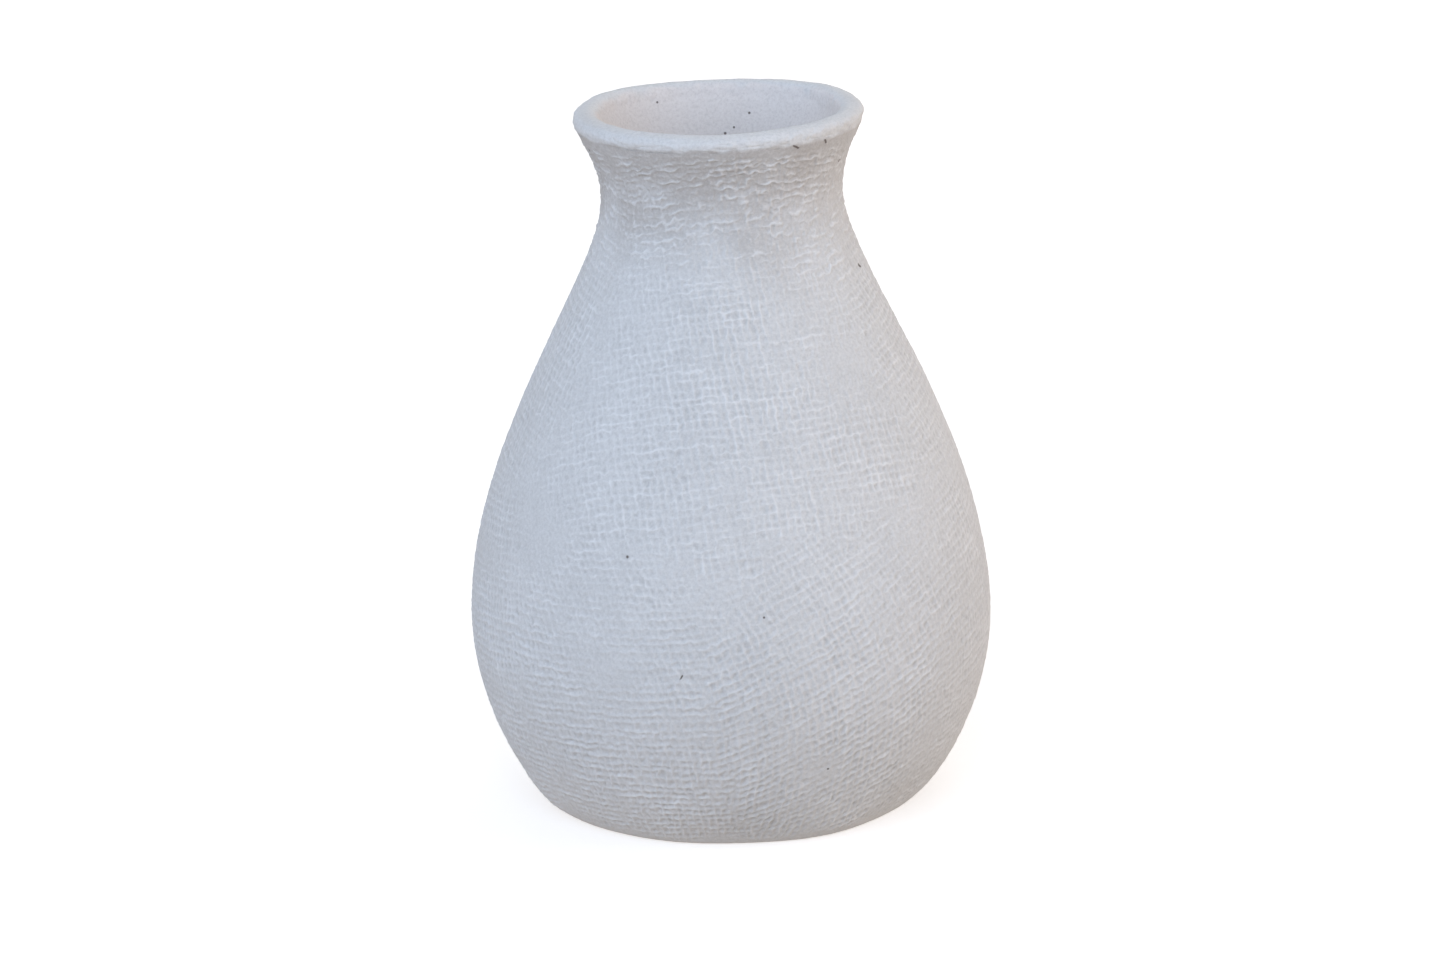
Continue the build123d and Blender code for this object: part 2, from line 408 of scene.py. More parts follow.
def outer_rows(s):
    """Rows of the outer wall at arc lengths s: points (rows, columns, 3), and what is painted on them."""
    s = s[:, None]
    az = azimuths[None, :]
    r, z = outer.point(s)
    dr, dz = outer.slope(s, 0.4)
    smooth = ring_points(r, z, az)
    bunched = smoothstep(BUNCHED_FROM, BUNCHED_TO, z + 3.0 * noise(smooth, 8, 50))
    strength = np.clip(0.95 + 0.20 * noise(smooth, 9, 51) + 0.10 * noise(smooth, 3, 52), 0.4, 1.3)
    strength = strength * smoothed_away(r, z, az)
    fade_low = smoothstep(*PRINT_ABOVE_FOOT, z + 0.9 * noise(smooth, 9, 53))
    fade_high = smoothstep(*PRINT_BELOW_LIP, z + 0.8 * noise(smooth, 7, 54))
    crinkles = crumpled(smooth * np.array([0.62, 0.62, 1.5]), 1.5, 59) - 0.5 * crumpled(smooth, 2.2, 60)
    cloth = pressed_cloth(s, az, smooth, bunched) + CRINKLES_SHARE * bunched * crinkles
    cloth = cloth * strength * fade_low * fade_high
    grit = noise(smooth, 0.85, 55)
    deeper_low = smoothstep(DEEPER_FROM, DEEPER_TO, z)
    relief = (PRINT_DEPTH + BUNCHED_DEPTH * bunched + LOW_DEPTH * deeper_low) * cloth + GRIT_DEPTH * grit
    # Near the lip everything moves straight outwards, as the lip does, so that no gap opens below it.
    # So does the foot's edge, which would otherwise be pushed down into the table.
    level = np.maximum(smoothstep(*STRAIGHT_NEAR_LIP, z), smoothstep(*STRAIGHT_NEAR_FOOT, z))
    dr, dz = dr * (1 - level), dz + (1 - dz) * level
    relief = relief * smoothstep(FLARE_Z, FLARE_Z - RELIEF_ENDS, z)
    off = unevenness(r, z, az) + relief + folds(z, az, smooth)
    # Painted shade: the neck below the lip is painted darker, where the lip's shade falls, with a ragged edge
    # and less of it towards one side.
    painted_shade = smoothstep(NECK_SHADE_FROM, NECK_SHADE_TO, z + 4 * noise(smooth, 8, 56)) * (0.88 + 0.35 * noise(smooth, 6, 57))
    less = np.exp(-((azimuth_from(az, LESS_NECK_SHADE_AT) / LESS_NECK_SHADE_REACH) ** 2))
    painted_shade = painted_shade * (1 - LESS_NECK_SHADE_BY * less)
    points = ring_points(r + off * dz, z - off * dr, az)
    hand_shape_rim(points)
    points[..., 2] = np.maximum(points[..., 2], 0)
    return points, {"cloth": cloth, "painted_shade": np.clip(painted_shade, 0, 1)}


# ---------------------------------------------------------------- meshes


def round_rows(section):
    """Rows of points from a section of (radius, height), moved outwards by the hand-built unevenness."""
    r, z = np.array(section, float).T[..., None]
    return ring_points(r + unevenness(r, z, azimuths[None, :]), z, azimuths[None, :])


def between(a, b, n):
    """n points strictly between two section points."""
    t = np.linspace(0, 1, n + 2)[1:-1, None]
    return np.array(a) * (1 - t) + np.array(b) * t


def lay_out(mesh, rows, fans):
    """A texture layout: once round is the full width, and the length of the section is the full height."""
    columns = rows.shape[1]
    steps = np.linalg.norm(np.roll(rows[:, 0], -1, axis=0) - rows[:, 0], axis=1)
    up = np.concatenate([[0], np.cumsum(steps)]) / steps.sum()
    across = np.arange(columns + 1) / columns
    quad_rows = (len(mesh.loops) - 3 * fans) // 4 // columns
    i, j = np.divmod(np.arange(quad_rows * columns), columns)
    low, high = up[:-1][i], up[1:][i]
    u = np.stack([across[j], across[j + 1], across[j + 1], across[j]], axis=1)
    v = np.stack([low, low, high, high], axis=1)
    fan = np.arange(fans) % columns
    ends = np.repeat([0.0, 1.0], columns)[:fans]
    fan_u = np.stack([across[fan], across[fan + 1], (across[fan] + across[fan + 1]) / 2], axis=1)
    fan_v = np.stack([np.clip(ends, up[1], up[-2])] * 2 + [ends], axis=1)
    u, v = np.concatenate([u.ravel(), fan_u.ravel()]), np.concatenate([v.ravel(), fan_v.ravel()])
    uv = np.stack([u, v], axis=1)
    mesh.uv_layers.new(name="OFBake").data.foreach_set("uv", uv.astype(np.float32).ravel())


def corner_rows(rows, closed):
    """The rows where the section turns more than 35 degrees, as it does nowhere on a rounded face."""
    section = np.stack([np.hypot(rows[..., 0], rows[..., 1]).mean(1), rows[..., 2].mean(1)], axis=1)
    before, after = section - np.roll(section, 1, axis=0), np.roll(section, -1, axis=0) - section
    turn = np.arctan2(after[:, 1], after[:, 0]) - np.arctan2(before[:, 1], before[:, 0])
    corner = np.abs((turn + pi) % (2 * pi) - pi) > radians(35)
    if not closed:
        corner[[0, -1]] = False
    return np.flatnonzero(corner)


def make_piece(name, rows, attributes=None, closed=True, poles=False):
    """A mesh of rings. Rows run up the outside, in, down the inside and out again."""
    rows = np.asarray(rows)
    count, columns = rows.shape[:2]
    vertices = rows.reshape(-1, 3) * MM
    i = np.arange(count if closed else count - 1)[:, None]
    j = np.arange(columns)[None, :]
    up, right = (i + 1) % count, (j + 1) % columns
    corners = i * columns + j, i * columns + right, up * columns + right, up * columns + j
    quads = np.stack(np.broadcast_arrays(*corners)).reshape(4, -1).T
    loops = [quads.ravel()]
    totals = [np.full(len(quads), 4)]
    if poles:
        ends = rows[[0, -1]].mean(axis=1) * MM
        for row, base, flip in ((0, len(vertices), True), (count - 1, len(vertices) + 1, False)):
            first = row * columns + np.arange(columns)
            second = row * columns + (np.arange(columns) + 1) % columns
            sides = (second, first) if flip else (first, second)
            fan = np.stack([*sides, np.full(columns, base)])
            loops.append(fan.T.ravel())
            totals.append(np.full(columns, 3))
        vertices = np.vstack([vertices, ends])
    loops, totals = np.concatenate(loops), np.concatenate(totals)
    mesh = bpy.data.meshes.new(name)
    mesh.vertices.add(len(vertices))
    mesh.vertices.foreach_set("co", vertices.astype(np.float32).ravel())
    mesh.loops.add(len(loops))
    mesh.loops.foreach_set("vertex_index", loops.astype(np.int32))
    mesh.polygons.add(len(totals))
    mesh.polygons.foreach_set("loop_start", (np.cumsum(totals) - totals).astype(np.int32))
    mesh.update(calc_edges=True)
    mesh.validate()
    mesh.polygons.foreach_set("use_smooth", np.ones(len(totals), bool))
    sharp = corner_rows(rows, closed)
    if len(sharp):
        ends = np.zeros(len(mesh.edges) * 2, np.int32)
        mesh.edges.foreach_get("vertices", ends)
        ring = ends.reshape(-1, 2) // columns
        edge = (ring[:, 0] == ring[:, 1]) & np.isin(ring[:, 0], sharp)
        mesh.attributes.new("sharp_edge", "BOOLEAN", "EDGE").data.foreach_set("value", edge)
    lay_out(mesh, rows, 2 * columns if poles else 0)
    for key, values in (attributes or {}).items():
        full = np.zeros(len(vertices), np.float32)
        full[: values.size] = values.ravel()
        mesh.attributes.new(key, "FLOAT", "POINT").data.foreach_set("value", full)
    piece = bpy.data.objects.new(name, mesh)
    bpy.context.scene.collection.objects.link(piece)
    return piece


def painted(marks, first, count):
    """What is painted on the outer rows, for a whole piece of so many rows: nothing on all the others."""
    whole = {}
    for name, values in marks.items():
        whole[name] = np.zeros((count, COLUMNS))
        whole[name][first : first + len(values)] = values
    return whole


def seam_inner_point():
    """Where the bevelled seam meets the inside line."""
    s = np.linspace(inner.at_height(50), inner.at_height(80), 400)
    r, z = inner.point(s)
    gap = z - (SEAM_Z + (SEAM_R - r) * SEAM_SLOPE)
    k = int(np.argmin(np.abs(gap)))
    return float(r[k]), float(z[k])


seam_in = seam_inner_point()


def inner_section(z_high, z_low, step=2.0):
    """The inside line as section points, from high to low."""
    s = inner.rows(z_low, z_high, step)[::-1]
    return np.stack(inner.point(s), axis=1)


def make_wall(name, z_low, z_high, top, z_inner_high, z_inner_low, bottom):
    """A wall: the cloth-pressed outside, then the top edge, the inside and the bottom edge."""
    outside, marks = outer_rows(outer.rows(z_low, z_high, ROW_STEP))
    rest = round_rows(np.vstack([top, inner_section(z_inner_high, z_inner_low), bottom]))
    hand_shape_rim(rest)
    rows = np.concatenate([outside, rest])
    marks = painted(marks, 0, len(rows))
    # The inside rows, which the material paints paler and warmer as painted light.
    marks["inside"] = np.repeat(np.arange(len(rows)) >= len(outside), COLUMNS)
    return make_piece(name, rows, marks)


foot_in_r = float(inner.point(inner.at_height(FLOOR_Z))[0])
ledge_out_r = float(outer.point(outer.at_height(LEDGE_Z))[0])

belly_wall = make_wall(
    "belly_wall_clay",
    LEDGE_Z,
    SEAM_Z,
    between((SEAM_R, SEAM_Z), seam_in, 2),
    seam_in[1],
    FLOOR_Z,
    np.array([(STEP_R, FLOOR_Z), (STEP_R, LEDGE_Z), ((STEP_R + ledge_out_r) / 2, LEDGE_Z)]),
)

mouth_foot_r = float(inner.point(inner.at_height(FLARE_Z))[0])
tongue = [
    (TONGUE_R + TONGUE_HALF * cos(a), FLARE_Z + TONGUE_UP * sin(a)) for a in np.linspace(0, pi, 9)
]
shoulder_wall = make_wall(
    "shoulder_wall_clay",
    SEAM_Z,
    FLARE_Z,
    np.array(tongue),
    FLARE_Z,
    seam_in[1],
    between(seam_in, (SEAM_R, SEAM_Z), 2),
)


def smooth_section(corners, per_side=6):
    """A rounded line through the corners, by Catmull-Rom."""
    p = np.array(corners, float)
    p = np.vstack([2 * p[0] - p[1], p, 2 * p[-1] - p[-2]])
    made = []
    for a, b, c, d in zip(p, p[1:], p[2:], p[3:]):
        t = np.linspace(0, 1, per_side, endpoint=False)[:, None]
        square, cube = (2 * a - 5 * b + 4 * c - d) * t**2, (3 * b - a - 3 * c + d) * t**3
        made.append(0.5 * (2 * b + (c - a) * t + square + cube))
    return np.vstack(made + [p[-2:-1]])


# The lip from the crease on the outside, over the top and down to where the inner wall takes over.
lip_outside = smooth_section(
    [
        (FLARE_R, FLARE_Z),
        (30.30, 146.75),
        (30.52, 147.7),
        (30.3, 148.7),
        (29.6, 149.5),
        (28.4, 149.93),
        (27.2, TOP_Z),
        (26.2, 149.7),
        (25.6, 149.1),
        (25.22, 148.2),
        (24.9, 147.1),
        (mouth_foot_r, FLARE_Z),
    ]
)
lip_groove = tongue[::-1]
SMEARED_AT, SMEARED_IN = 70, 0.35  # where the lip is smeared onto the wall, and how far in it was pushed
LEFT_SHADE_AT, LEFT_SHADE_REACH, LEFT_SHADE_SHARE = -72, 0.8, 0.14  # the lip's left side, painted with shade: degrees, radians, share


def make_lip():
    """A hand-rolled coil: uneven in thickness, its lower edge smeared here and there onto the wall."""
    section = np.vstack([lip_outside, np.array(lip_groove)])
    azimuth = azimuths[None, :]
    r, z = section[:, 0][:, None], section[:, 1][:, None]
    points = ring_points(r, z, azimuth)
    outside = smoothstep(27.0, 28.5, r)
    thickness = 0.16 * noise(points, 13, 71) + 0.09 * noise(points, 3.0, 72) + 0.06 * noise(points, 1.1, 77)
    along = np.array([0.4, 0.4, 1.5])
    streaks = 0.10 * crumpled(points * along, 1.6, 78) - 0.12 * crumpled(points * along, 2.1, 79)
    crest = smoothstep(FLARE_Z, 147.2, z)
    smeared = smoothstep(1.1, 0.3, np.abs(azimuth_from(azimuth, SMEARED_AT)))
    ragged = 0.14 * noise(points, 7, 73) + 0.14 * noise(points, 1.8, 80) - 0.02
    ragged = np.clip(ragged, 0, 0.2) * (1 - smeared)
    crease = smoothstep(147.0, FLARE_Z, z) * outside * ragged
    out = (2 * outside - 1) * thickness * crest + streaks * crest * outside
    out = out - crease * (r > TONGUE_R + TONGUE_HALF)
    out = out - SMEARED_IN * smeared * outside * smoothstep(149, 147, z) * crest
    rows = ring_points(r + unevenness(r, z, azimuth) + out, z, azimuth)
    rows[..., 2] += 0.16 * noise(points, 17, 74) * smoothstep(146.5, 149, z)
    rows[..., 2] += 0.05 * noise(points, 2.4, 76) * crest
    hand_shape_rim(rows)
    # Painted shade on the lip's left side and on its lower outer edge by the crease, and the inside's painted
    # light on its inner face.
    left_shade = LEFT_SHADE_SHARE * np.exp(-((azimuth_from(azimuth, LEFT_SHADE_AT) / LEFT_SHADE_REACH) ** 2))
    crease_shade = 0.9 * outside * smoothstep(147.3, FLARE_Z, z + 0.5 * noise(points, 2.2, 75))
    inside = smoothstep(26.3, 25.2, r + 0.4 * noise(points, 2.2, 70))
    return make_piece("lip_coil_clay", rows, {"painted_shade": np.maximum(left_shade, crease_shade), "inside": inside})


lip_coil = make_lip()


CANVAS_PITCH, CANVAS_DEPTH = 2.1, 0.12


def make_slab():
    """The slab: the dished underside with a canvas board's print, the edge, the step and the inside floor."""
    under = [(r, DISH_DEPTH) for r in np.linspace(1, DISH_R, 60)]
    fall = np.linspace(0, 1, 9)[1:]
    under += [(DISH_R + DISH_SLOPE * t, DISH_DEPTH * (1 - smoothstep(0, 1, t))) for t in fall]
    under += [(r, 0.0) for r in np.linspace(DISH_R + DISH_SLOPE, 38.5, 16)[1:-1]]
    edge, marks = outer_rows(outer.rows(0, LEDGE_Z, ROW_STEP))
    floor_edge = [((STEP_R + ledge_out_r) / 2, LEDGE_Z), (STEP_R, LEDGE_Z), (STEP_R, FLOOR_Z)]
    inside = np.array(floor_edge + [(r, FLOOR_Z) for r in np.linspace(STEP_R, 1.0, 60)[1:]])
    rows = np.concatenate([round_rows(under), edge, round_rows(inside)])
    radius = np.hypot(rows[..., 0], rows[..., 1])
    dish = smoothstep(DISH_R + 1, DISH_R - 3, radius) * (rows[..., 2] < 2)
    across, along = (np.sin(pi * rows[..., axis] / CANVAS_PITCH) for axis in (0, 1))
    grid = np.abs(across * along)
    floor = smoothstep(37, 33, radius) * (rows[..., 2] > FLOOR_Z - 0.1)
    points = rows.copy()
    rows[..., 2] += dish * (CANVAS_DEPTH * grid + 0.1 * noise(points, 9, 81))
    rows[..., 2] += floor * 0.12 * noise(points, 6, 82)
    marks = painted(marks, len(under), len(rows))
    return make_piece("base_slab_clay", rows, marks, closed=False, poles=True)


base_slab = make_slab()


COIL_COLUMNS, DIMPLES_ROUND, DIMPLE_DEPTH = 720, 26, 0.22


def make_coil(name, line, seed):
    """A coil pressed flat inside: its face is dimpled by fingertips, and its back lies on the walls."""
    face, back = line
    section = np.vstack([face, back])
    az = np.arange(COIL_COLUMNS)[None, :] * 2 * pi / COIL_COLUMNS
    points = ring_points(section[:, 0][:, None], section[:, 1][:, None], az)
    rows = points.copy()
    middle = np.zeros(len(section))
    middle[: len(face)] = np.sin(np.linspace(0, pi, len(face)))
    dimples = np.abs(np.sin(az * DIMPLES_ROUND / 2 + noise(points, 30, seed)))
    dimples = -DIMPLE_DEPTH * dimples + 0.12 * noise(points, 5, seed + 1)
    inwards = middle[:, None] * dimples
    rows[..., 0] -= inwards * np.sin(az)
    rows[..., 1] += inwards * np.cos(az)
    return make_piece(name, rows)


def seam_coil_lines():
    """The face and the back of the coil over the belly seam: half an ellipse, leaning with the wall."""
    r0, z0, proud, half, lean = 46.0, 65.2, 1.7, 5.5, radians(15)
    made = []
    for a in np.linspace(-pi / 2, pi / 2, 25):
        x, y = -proud * cos(a), half * sin(a)
        made.append((r0 + x * cos(lean) - y * sin(lean), z0 + x * sin(lean) + y * cos(lean)))
    face = np.array(made)
    s = inner.rows(face[0, 1], face[-1, 1], 0.9)[::-1]
    back = np.stack(inner.point(s), axis=1)
    face[0], face[-1] = back[-1], back[0]
    return face, back[1:-1]


def floor_coil_lines():
    """The face and the back of the coil in the corner of the floor: a hollow curve and the two walls."""
    a, b, c = (STEP_R - 5.0, FLOOR_Z), (38.8, 8.9), (STEP_R + 5.0, 13.0)
    t = np.linspace(0, 1, 21)[:, None]
    control = 2 * np.array(b) - (np.array(a) + np.array(c)) / 2
    face = (1 - t) ** 2 * np.array(a) + 2 * t * (1 - t) * control + t**2 * np.array(c)
    inside_r = np.interp(face[:, 1], inner.z, inner.r)
    face[:, 0] = np.minimum(face[:, 0], inside_r)
    s = inner.rows(FLOOR_Z, float(face[-1, 1]), 0.7)[::-1]
    back = np.stack(inner.point(s), axis=1)
    return face, np.vstack([back[1:], between((foot_in_r, FLOOR_Z), a, 5)])


def turned(lines):
    """Both lines the other way round, so that the mesh's faces look out of the clay."""
    face, back = lines
    return face[::-1], back[::-1]


seam_coil = make_coil("belly_seam_coil_clay", turned(seam_coil_lines()), 90)
floor_coil = make_coil("floor_seam_coil_clay", turned(floor_coil_lines()), 95)

# ---------------------------------------------------------------- materials


class Nodes:
    """A material's nodes, made one line at a time."""

    def __init__(self, name):
        self.material = bpy.data.materials.new(name)
        self.material.use_nodes = True
        self.tree = self.material.node_tree
        self.tree.nodes.clear()

    def add(self, kind, inputs=None, **properties):
        """A new node, with its properties set and its inputs linked or set."""
        made = self.tree.nodes.new(kind)
        for key, value in properties.items():
            setattr(made, key, value)
        for key, value in (inputs or {}).items():
            socket = made.inputs[key]
            if isinstance(value, bpy.types.NodeSocket):
                self.tree.links.new(value, socket)
            else:
                socket.default_value = value
        return made

    def math(self, operation, a, b):
        """One sum of two values."""
        return self.add("ShaderNodeMath", {0: a, 1: b}, operation=operation).outputs[0]

    def mix(self, share, a, b):
        """Colour a, with a share of colour b in it."""
        made = self.add("ShaderNodeMix", data_type="RGBA")
        for index, value in ((0, share), (6, a), (7, b)):
            if isinstance(value, bpy.types.NodeSocket):
                self.tree.links.new(value, made.inputs[index])
            else:
                made.inputs[index].default_value = value
        return made.outputs[2]

    def ramp(self, value, low, high):
        """0 where the value is at low and 1 where it's at high, eased at both ends."""
        return self.add(
            "ShaderNodeMapRange",
            {"Value": value, "From Min": low, "From Max": high},
            interpolation_type="SMOOTHSTEP",
        ).outputs["Result"]

    def noise(self, where, size, detail=2.0, roughness=0.5):
        """Noise with lumps about size millimetres across."""
        return self.add(
            "ShaderNodeTexNoise",
            {"Vector": where, "Scale": 1 / (size * MM), "Detail": detail, "Roughness": roughness},
        ).outputs["Fac"]


# The ridge tone is partly a paler, dry-brushed crest and partly painted light. The dent tone is painted shade
# in the dents, and it also darkens the fine pits.
RIDGE_TONE, DENT_SHADE_AND_PIT_TONE = (0.93, 0.94, 0.95, 1), (0.36, 0.355, 0.35, 1)
DUST_TONE = (0.95, 0.95, 0.94, 1)
# The inside tone is painted light, paler and warmer than the outside. The other is painted shade, for the
# neck under the lip, the lip's left side and the lip's edge by the crease.
INSIDE_PAINTED_LIGHT_TONE, PAINTED_SHADE_TONE = (0.75, 0.70, 0.675, 1), (0.47, 0.445, 0.425, 1)
PINHOLE_TONE, SPECK_TONE = (0.09, 0.08, 0.075, 1), (0.10, 0.075, 0.065, 1)
RIDGE_SHARE, DENT_SHADE_SHARE, DUST_SHARE, PIT_SHARE = 0.33, 0.30, 0.18, 0.20  # of a tone where it's strongest
PAINTED_SHARE, PINHOLE_SHARE = 0.85, 0.75  # for the inside's painted light, the painted shade and the specks, and for pinholes
PINHOLE_PITCH = 3.4  # millimetres

# Burnt-out specks in the clay: azimuth, height, half-width, length, rise of its line, and the wall's side.
# Those at 137, -118 and -165 degrees are made up. The others are in the photo, some of them moved a little.
SPECKS = [
    (31, 146.0, 0.25, 1.5, -30, outer),
    (46, 145.9, 0.24, 1.0, -50, outer),
    (66, 139.5, 0.40, 0.0, 0, outer),
    (73, 116.5, 0.28, 1.0, -40, outer),
    (-71, 143.0, 0.36, 0.0, 0, outer),
    (-24, 65.3, 0.34, 0.0, 0, outer),
    (7, 53.7, 0.24, 0.0, 0, outer),
    (22, 19.0, 0.26, 0.0, 0, outer),
    (82, 68.4, 0.32, 0.0, 0, outer),
    (-11, 41.5, 0.18, 0.9, 60, outer),
    (137, 88.0, 0.34, 0.0, 0, outer),
    (-118, 120.0, 0.30, 0.8, 20, outer),
    (-165, 58.0, 0.34, 0.0, 0, outer),
    (-148, 146.5, 0.26, 0.0, 0, inner),
    (164, 143.5, 0.29, 0.0, 0, inner),
    (172, 140.6, 0.26, 0.0, 0, inner),
    (177, 139.4, 0.31, 0.0, 0, inner),
]


def speck_points():
    """The middle and half-width of each dark grain. A long speck is a short row of them."""
    for at, height, half, length, rise, line in SPECKS:
        for along in np.linspace(-length / 2, length / 2, 1 + int(np.ceil(length / half))):
            z = np.array(height + along * sin(radians(rise)))
            r = line.point(line.at_height(z))[0]
            azimuth = np.array(radians(at) + along * cos(radians(rise)) / float(r))
            out = unevenness(r, z, azimuth)
            yield ring_points(r + out, z - rim_drop(z, azimuth), azimuth) * MM, half * MM


def clay(name, pale, shade, pinholes=0.0, grain=1.0, specks=False):
    """Matt fired clay: cloudy colour, a paler, warmer inside (painted light), a darker neck and lip edge
    (painted shade), paler ridges (partly painted light), darker dents (painted shade), fine grain, specks and
    pinholes.
    """
    n = Nodes(name)
    where = n.add("ShaderNodeTexCoord").outputs["Object"]
    clouds = n.math("MULTIPLY", n.noise(where, 26, 3.0, 0.55), 0.65)
    mottle = n.math("MULTIPLY", n.noise(where, 4, 3.0, 0.6), 0.35)
    colour = n.mix(n.ramp(n.math("ADD", clouds, mottle), 0.36, 0.64), pale, shade)
    # Painted light: the inside is painted paler and warmer.
    inside = n.add("ShaderNodeAttribute", attribute_name="inside").outputs["Fac"]
    colour = n.mix(n.math("MULTIPLY", inside, PAINTED_SHARE), colour, INSIDE_PAINTED_LIGHT_TONE)
    # Painted shade: the neck under the lip, the lip's left side and the lip's edge by the crease are painted
    # darker.
    painted_shade = n.add("ShaderNodeAttribute", attribute_name="painted_shade").outputs["Fac"]
    colour = n.mix(n.math("MULTIPLY", painted_shade, PAINTED_SHARE), colour, PAINTED_SHADE_TONE)
    # The ridges are partly a paler, dry-brushed surface and partly painted light. The dents are painted
    # shade.
    cloth = n.add("ShaderNodeAttribute", attribute_name="cloth").outputs["Fac"]
    colour = n.mix(n.math("MULTIPLY", n.ramp(cloth, 0.05, 1.05), RIDGE_SHARE), colour, RIDGE_TONE)
    colour = n.mix(n.math("MULTIPLY", n.ramp(cloth, -0.05, -1.2), DENT_SHADE_SHARE), colour, DENT_SHADE_AND_PIT_TONE)
    fine = n.noise(where, 0.6, 3.0, 0.7)
    colour = n.mix(n.math("MULTIPLY", n.ramp(fine, 0.42, 0.72), DUST_SHARE), colour, DUST_TONE)
    colour = n.mix(n.math("MULTIPLY", n.ramp(fine, 0.52, 0.28), PIT_SHARE), colour, DENT_SHADE_AND_PIT_TONE)
    skin = n.math("MULTIPLY", n.noise(where, 2.6, 3.0, 0.6), 0.16)
    grit = n.math("MULTIPLY", n.noise(where, 0.22, 2.0), 0.02 * grain)
    heights = n.math("ADD", n.math("MULTIPLY", fine, 0.05 * grain), n.math("ADD", skin, grit))
    if pinholes:
        grid = {"Vector": where, "Scale": 1 / (PINHOLE_PITCH * MM), "Randomness": 1.0}
        cells = n.add("ShaderNodeTexVoronoi", grid)
        size = n.add("ShaderNodeSeparateColor", {"Color": cells.outputs["Color"]}).outputs["Red"]
        wanted = n.math("MULTIPLY", n.ramp(size, 1 - pinholes, 1.0), 0.12)
        hole = n.math("LESS_THAN", cells.outputs["Distance"], wanted)
        colour = n.mix(n.math("MULTIPLY", hole, PINHOLE_SHARE), colour, PINHOLE_TONE)
        heights = n.math("SUBTRACT", heights, n.math("MULTIPLY", hole, 0.1))
    if specks:
        dark = 0.0
        for middle, half in speck_points():
            away = n.add("ShaderNodeVectorMath", {0: where, 1: middle}, operation="DISTANCE")
            dark = n.math("MAXIMUM", dark, n.ramp(away.outputs["Value"], half * 1.25, half * 0.6))
        colour = n.mix(n.math("MULTIPLY", dark, PAINTED_SHARE), colour, SPECK_TONE)
        heights = n.math("SUBTRACT", heights, n.math("MULTIPLY", dark, 0.12))
    bump = n.add("ShaderNodeBump", {"Height": heights, "Strength": 0.9, "Distance": MM})
    rough = n.add(
        "ShaderNodeMapRange", {"Value": n.noise(where, 2.0, 2.0), "To Min": 0.78, "To Max": 0.97}
    ).outputs["Result"]
    shader = n.add(
        "ShaderNodeBsdfPrincipled",
        {
            "Base Color": colour,
            "Roughness": rough,
            "Specular IOR Level": 0.3,
            "Normal": bump.outputs["Normal"],
        },
    )
    n.add("ShaderNodeOutputMaterial", {"Surface": shader.outputs["BSDF"]})
    return n.material


pressed_clay = clay("pressed_clay", (0.64, 0.64, 0.64, 1), (0.60, 0.60, 0.60, 1), specks=True)
lip_clay = clay("lip_clay", (0.70, 0.70, 0.70, 1), (0.66, 0.66, 0.66, 1), 0.02, 1.3, specks=True)
smooth_clay = clay("smooth_clay", (0.64, 0.64, 0.64, 1), (0.60, 0.60, 0.60, 1), 0.012)

for piece, node, slot, material in (
    (base_slab, "base_slab", "clay_smooth", smooth_clay),
    (belly_wall, "belly_wall", "clay_cloth_pressed", pressed_clay),
    (shoulder_wall, "shoulder_wall", "clay_cloth_pressed", pressed_clay),
    (lip_coil, "lip_coil", "clay_lip", lip_clay),
    (floor_coil, "floor_seam_coil", "clay_smooth", smooth_clay),
    (seam_coil, "belly_seam_coil", "clay_smooth", smooth_clay),
):
    piece.data.materials.append(material)
    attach(piece, "root")
    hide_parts(node)

# ---------------------------------------------------------------- floor, light and camera

size = cad_high - cad_low
height = size.z
middle = Vector((0, 0, cad_low.z + height / 2))


SWEEP_FLAT, SWEEP_CURVE, SWEEP_TOP = 4.0, 2.0, 9.0  # metres
LAMPS_FADE = (0.5, 2.5)  # metres from the vase, where the paper starts and stops needing more glow
NEAR_GLOW, FAR_GLOW = 0.5, 0.4  # the second is added to the first


def make_floor():
    """A wide pale sweep: flat under the vase and turning up all round, within every camera's reach."""
    radii = np.geomspace(0.02, SWEEP_FLAT, 40)
    climb = np.linspace(0, pi / 2, 25)[1:]
    section = [(r, 0.0) for r in radii]
    section += [(SWEEP_FLAT + SWEEP_CURVE * sin(a), SWEEP_CURVE * (1 - cos(a))) for a in climb]
    section.append((SWEEP_FLAT + SWEEP_CURVE, SWEEP_TOP))
    around = np.arange(96) * 2 * pi / 96
    rows = np.stack([ring_points(r / MM, z / MM, around) for r, z in section[::-1]])
    piece = make_piece("floor", rows, closed=False)
    n = Nodes("floor_paper")
    where = n.add("ShaderNodeTexCoord").outputs["Object"]
    colour = n.mix(n.noise(where, 300, 2.0), (0.78, 0.75, 0.72, 1), (0.80, 0.77, 0.74, 1))
    bump = n.add("ShaderNodeBump", {"Height": n.noise(where, 1.5, 2.0), "Strength": 0.05, "Distance": MM})
    shader = n.add(
        "ShaderNodeBsdfPrincipled",
        {
            "Base Color": colour,
            "Roughness": 0.9,
            "Specular IOR Level": 0.2,
            "Normal": bump.outputs["Normal"],
        },
    )
    # The paper glows a little, more where the lamps don't reach, so that it stays as white as near the vase.
    away = n.add("ShaderNodeVectorMath", {0: where}, operation="LENGTH").outputs["Value"]
    glow = n.math("ADD", NEAR_GLOW, n.math("MULTIPLY", n.ramp(away, *LAMPS_FADE), FAR_GLOW))
    n.tree.links.new(glow, shader.inputs["Emission Strength"])
    shader.inputs["Emission Color"].default_value = (1, 1, 1, 1)
    n.add("ShaderNodeOutputMaterial", {"Surface": shader.outputs["BSDF"]})
    piece.data.materials.append(n.material)
    return piece


floor = make_floor()
floor.visible_diffuse = floor.visible_shadow = False


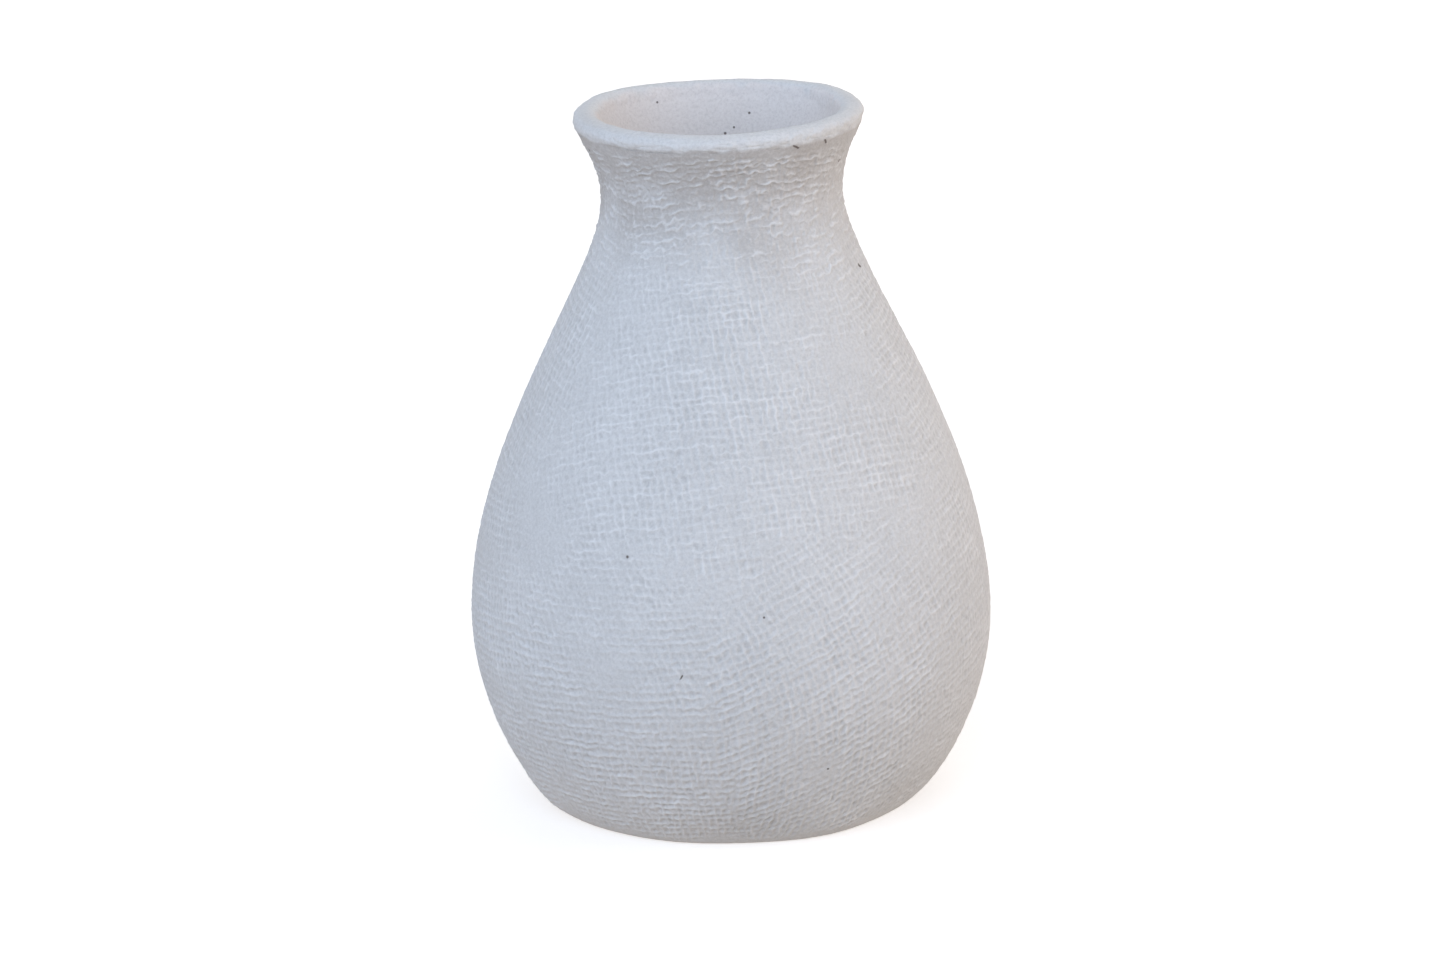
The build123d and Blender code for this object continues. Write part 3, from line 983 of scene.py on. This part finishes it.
def area_light(name, azimuth, elevation, distance, width, colour, watts):
    """A square soft light aimed at the vase's middle."""
    data = bpy.data.lights.new(name, "AREA")
    data.shape, data.size, data.color, data.energy = "SQUARE", width, colour, watts
    lamp = bpy.data.objects.new(name, data)
    a, e = radians(azimuth), radians(elevation)
    away = Vector((sin(a) * cos(e), -cos(a) * cos(e), sin(e)))
    lamp.location = middle + away * distance
    lamp.rotation_mode = "QUATERNION"
    lamp.rotation_quaternion = away.to_track_quat("Z", "Y")
    lamp.visible_camera = False
    bpy.context.scene.collection.objects.link(lamp)


area_light("cool_front", -20, 28, 1.6, 1.6, (0.63, 0.78, 1.0), 18.8)
area_light("warm_right", 80, 15, 1.6, 1.2, (1.0, 0.90, 0.85), 11.7)
area_light("cool_left", -85, 6, 1.6, 1.4, (0.40, 0.63, 1.0), 4.0)
area_light("back_fill", 172, 42, 1.6, 1.6, (0.95, 0.97, 1.0), 5)


def studio_sky():
    """Soft light from all round above, dim and warm from below."""
    world = bpy.data.worlds.new("studio")
    bpy.context.scene.world = world
    world.use_nodes = True
    links, nodes = world.node_tree.links, world.node_tree.nodes
    up = nodes.new("ShaderNodeSeparateXYZ")
    links.new(nodes.new("ShaderNodeTexCoord").outputs["Generated"], up.inputs[0])
    ramp = nodes.new("ShaderNodeValToRGB")
    links.new(up.outputs["Z"], nodes.new("ShaderNodeMapRange").inputs["Value"])
    share = nodes["Map Range"]
    share.inputs["From Min"].default_value = -1.0
    links.new(share.outputs["Result"], ramp.inputs["Fac"])
    stops = ramp.color_ramp.elements
    stops[0].position, stops[0].color = 0.36, (0.49, 0.43, 0.385, 1)
    stops[1].position, stops[1].color = 0.62, (0.377, 0.378, 0.39, 1)
    links.new(ramp.outputs["Color"], nodes["Background"].inputs["Color"])
    nodes["Background"].inputs["Strength"].default_value = 1.0


studio_sky()

# The photograph's view: how far above the horizon, how far away, and the small tilt of the frame.
VIEW_ELEVATION, VIEW_DISTANCE, VIEW_ROLL = radians(14.58), 7 * height, radians(-1.37)
VIEW_LENS, VIEW_SHIFT_X, VIEW_SHIFT_Y = 123.1, -0.0035, -0.0215
camera_data = bpy.data.cameras.new("camera")
camera_data.sensor_width, camera_data.lens = 36.0, VIEW_LENS
camera_data.shift_x, camera_data.shift_y = VIEW_SHIFT_X, VIEW_SHIFT_Y
camera_data.clip_start, camera_data.clip_end = 0.05, 200
camera = bpy.data.objects.new("camera", camera_data)
back = Vector((0, -cos(VIEW_ELEVATION), sin(VIEW_ELEVATION)))
camera.rotation_mode = "QUATERNION"
turn = (-back).to_track_quat("-Z", "Y").to_matrix().to_4x4() @ Matrix.Rotation(VIEW_ROLL, 4, "Z")
camera.matrix_world = Matrix.Translation(middle + back * VIEW_DISTANCE) @ turn
bpy.context.scene.collection.objects.link(camera)
bpy.context.scene.camera = camera
bpy.context.scene.view_settings.view_transform = "Standard"
